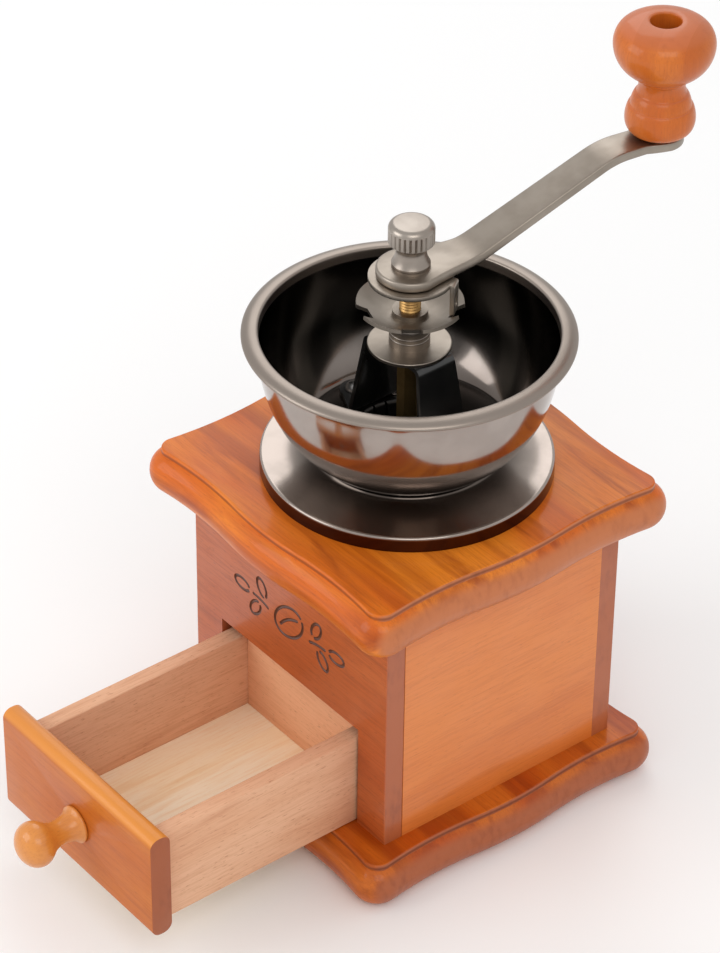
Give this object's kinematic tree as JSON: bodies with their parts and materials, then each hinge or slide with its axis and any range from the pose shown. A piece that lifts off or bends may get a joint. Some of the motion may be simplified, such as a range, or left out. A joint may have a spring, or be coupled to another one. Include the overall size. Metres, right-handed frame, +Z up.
{
  "type": "hand burr coffee mill",
  "caption": "Wooden box coffee mill with moulded lid and base, metal bowl hopper, conical burr, curved crank with wooden knob and a pull-out drawer.",
  "frame": {"origin": "middle of the underside of the base board", "axes": "+Z up along the crank's axis, the drawer faces -Y, +X is to the right for someone facing the drawer"},
  "size_m": [0.1244, 0.26, 0.2543],
  "materials": {
    "board_wood": "orange-brown lacquered hardwood, glossy",
    "front_wood": "reddish-brown lacquered hardwood, glossy",
    "side_wood": "light orange lacquered hardwood, glossy",
    "drawer_wood": "raw pale pinkish beech",
    "drawer_floor_wood": "raw pale pine board",
    "drawer_front_wood": "orange-brown lacquered hardwood",
    "knob_wood": "honey lacquered turned wood",
    "hopper_metal": "polished black nickel plating",
    "bright_metal": "satin nickel plating",
    "bridge_metal": "glossy black",
    "brass": "yellow zinc and brass, slightly dull",
    "burr_iron": "hardened grey iron",
    "fastener_steel": "zinc plated"
  },
  "bodies": {
    "cabinet": {"base_board": "board_wood", "top_board": "board_wood", "front_panel": "front_wood", "back_panel": "front_wood", "left_panel": "side_wood", "right_panel": "side_wood", "drawer_guide_left": "drawer_wood", "drawer_guide_right": "drawer_wood", "base_screws": "fastener_steel", "hopper_flange": "hopper_metal", "hopper_bowl": "hopper_metal", "burr_ring": "burr_iron", "burr_screws": "fastener_steel", "lower_bearing_bar": "fastener_steel", "spring_washer": "fastener_steel", "pressure_spring": "fastener_steel", "bridge_bracket": "bridge_metal", "bridge_plate": "bright_metal", "bearing_bush": "bright_metal", "bracket_screws": "fastener_steel"},
    "crank": {"spindle": "brass", "burr_cone": "burr_iron", "cone_clip": "fastener_steel", "adjusting_wheel": "bright_metal", "lock_plate": "bright_metal", "crank_arm": "bright_metal", "knob_washer": "bright_metal", "knob_pin": "bright_metal"},
    "knob": {"crank_knob": "knob_wood"},
    "nut_lift": {"nut_washer": "bright_metal"},
    "thumb_nut": {"thumb_nut": "bright_metal"},
    "drawer": {"drawer_front": "drawer_front_wood", "drawer_left_side": "drawer_wood", "drawer_right_side": "drawer_wood", "drawer_back": "drawer_wood", "drawer_floor": "drawer_floor_wood", "drawer_knob": "knob_wood", "drawer_knob_screw": "fastener_steel"}
  },
  "joints": [
    {"name": "crank_spin", "type": "hinge", "parent": "cabinet", "child": "crank", "pos_m": [0, 0, 0.165], "axis": [0, 0, 1], "continuous": true},
    {"name": "knob_spin", "type": "hinge", "parent": "crank", "child": "knob", "pos_m": [0.0126, 0.08962, 0.235], "axis": [0, 0, 1], "continuous": true},
    {"name": "nut_lift", "type": "slide", "parent": "crank", "child": "nut_lift", "axis": [0, 0, 1], "range_m": [0, 0.006]},
    {"name": "thumb_nut_turn", "type": "hinge", "parent": "nut_lift", "child": "thumb_nut", "pos_m": [0, 0, 0.2], "axis": [0, 0, 1], "range_deg": [0, 2720]},
    {"name": "drawer_slide", "type": "slide", "parent": "cabinet", "child": "drawer", "axis": [0, -1, 0], "range_m": [-0.0763, 0.006]}
  ],
  "couplings": [
    {"joint": "thumb_nut_turn", "follows": "nut_lift", "rad_per_m": 7854}
  ]
}
